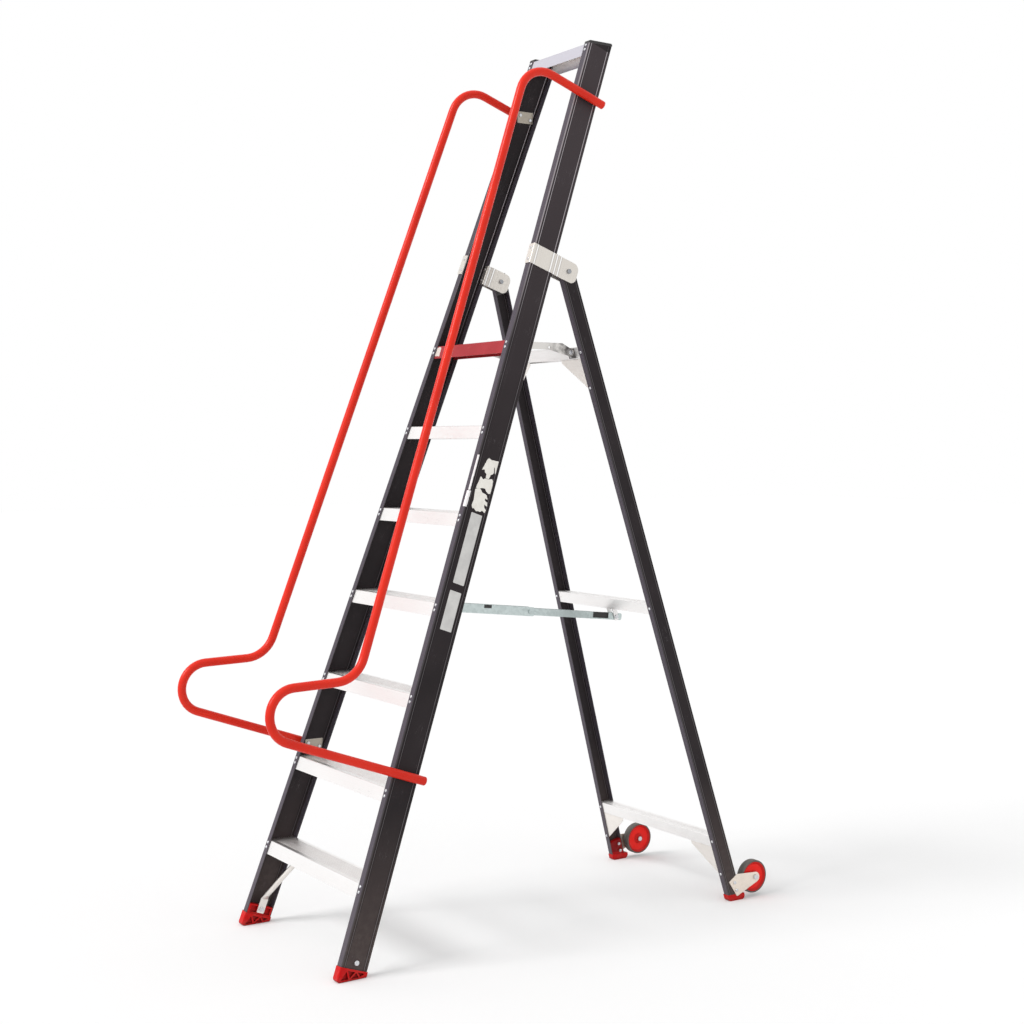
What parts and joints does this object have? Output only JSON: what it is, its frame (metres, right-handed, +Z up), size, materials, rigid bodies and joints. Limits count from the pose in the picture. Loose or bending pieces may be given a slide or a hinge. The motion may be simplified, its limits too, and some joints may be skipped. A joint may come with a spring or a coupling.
{
  "type": "platform steps",
  "caption": "Free-standing folding steps with ribbed treads, a lift-up platform under a guard frame, tubular handrails, a hinged rear frame with a jointed stay, and transport wheels.",
  "frame": {"origin": "on the floor, midway between the front of the handrail loops and the back of the wheels, on the middle line", "axes": "+Z up, +Y from the climber towards the rear frame, +X to the climber's right"},
  "size_m": [0.6416, 1.7538, 2.669],
  "materials": {
    "dark_stile": "dark coated extrusion, satin",
    "bare_aluminium": "bare mill finish",
    "red_nosing": "red coated extrusion",
    "red_rail": "glossy red powder coat on tube",
    "red_plastic": "moulded red plastic",
    "black_plastic": "moulded black plastic",
    "zinc_steel": "zinc plated",
    "black_steel": "black paint",
    "tyre": "dark grey moulded rubber"
  },
  "bodies": {
    "front_frame": {"right_front_stile": "dark_stile", "left_front_stile": "dark_stile", "tread_1": "bare_aluminium", "tread_2": "bare_aluminium", "tread_3": "bare_aluminium", "tread_4": "bare_aluminium", "tread_5": "bare_aluminium", "tread_6": "bare_aluminium", "platform_nosing": "red_nosing", "top_bar": "bare_aluminium", "tread_rivets": "bare_aluminium", "right_stile_cap": "black_plastic", "left_stile_cap": "black_plastic", "right_hinge_strap": "zinc_steel", "left_hinge_strap": "zinc_steel", "hinge_bolts": "zinc_steel", "bracket_rivets": "bare_aluminium", "right_handrail": "red_rail", "left_handrail": "red_rail", "rail_plugs": "red_plastic", "rail_saddles": "black_plastic", "rail_backing_plates": "bare_aluminium", "rail_bolts": "zinc_steel", "right_front_shoe": "red_plastic", "left_front_shoe": "red_plastic", "shoe_bolts": "zinc_steel", "right_foot_brace": "zinc_steel", "left_foot_brace": "zinc_steel", "platform_rest": "bare_aluminium", "stay_bracket": "zinc_steel", "stay_front_pin": "zinc_steel"},
    "rear_frame": {"right_rear_stile": "dark_stile", "left_rear_stile": "dark_stile", "upper_crossbar": "bare_aluminium", "middle_crossbar": "bare_aluminium", "lower_crossbar": "bare_aluminium", "upper_gussets": "bare_aluminium", "lower_gussets": "bare_aluminium", "rear_rivets": "bare_aluminium", "right_hinge_block": "black_plastic", "left_hinge_block": "black_plastic", "right_rear_shoe": "red_plastic", "left_rear_shoe": "red_plastic", "right_wheel_plate": "zinc_steel", "left_wheel_plate": "zinc_steel", "wheel_plate_bolts": "zinc_steel", "wheel_axles": "zinc_steel", "platform_ears": "black_steel", "platform_pins": "zinc_steel", "stay_hanger": "zinc_steel"},
    "platform": {"platform_deck": "bare_aluminium"},
    "stay_front": {"stay_front_link": "zinc_steel", "stay_knee_pin": "zinc_steel"},
    "stay_rear": {"stay_rear_link": "zinc_steel", "stay_latch": "black_plastic", "stay_end_pin": "zinc_steel"},
    "right_wheel": {"right_wheel_hub": "red_plastic", "right_wheel_tyre": "tyre"},
    "left_wheel": {"left_wheel_hub": "red_plastic", "left_wheel_tyre": "tyre"}
  },
  "joints": [
    {"name": "rear_frame_fold", "type": "hinge", "parent": "front_frame", "child": "rear_frame", "pos_m": [0, 0.16301, 1.962], "axis": [-1, 0, 0], "range_deg": [0, 36]},
    {"name": "platform_lift", "type": "hinge", "parent": "rear_frame", "child": "platform", "pos_m": [0, 0.19104, 1.723], "axis": [-1, 0, 0], "range_deg": [0, 73.45]},
    {"name": "stay_front_swing", "type": "hinge", "parent": "front_frame", "child": "stay_front", "pos_m": [0, -0.23096, 0.967], "axis": [-1, 0, 0], "range_deg": [0, 101.06]},
    {"name": "stay_knee", "type": "hinge", "parent": "stay_front", "child": "stay_rear", "pos_m": [0, 0.15186, 0.9276], "axis": [1, 0, 0], "range_deg": [0, 172.31]},
    {"name": "right_wheel_spin", "type": "hinge", "parent": "rear_frame", "child": "right_wheel", "pos_m": [0.29588, 0.82452, 0.06328], "axis": [1, 0, 0], "continuous": true},
    {"name": "left_wheel_spin", "type": "hinge", "parent": "rear_frame", "child": "left_wheel", "pos_m": [-0.29588, 0.82452, 0.06328], "axis": [1, 0, 0], "continuous": true}
  ],
  "couplings": [
    {"joint": "platform_lift", "follows": "rear_frame_fold", "ratio": 2.0388},
    {"joint": "stay_front_swing", "follows": "rear_frame_fold", "ratio": 2.8056},
    {"joint": "stay_knee", "follows": "rear_frame_fold", "ratio": 4.7849}
  ]
}
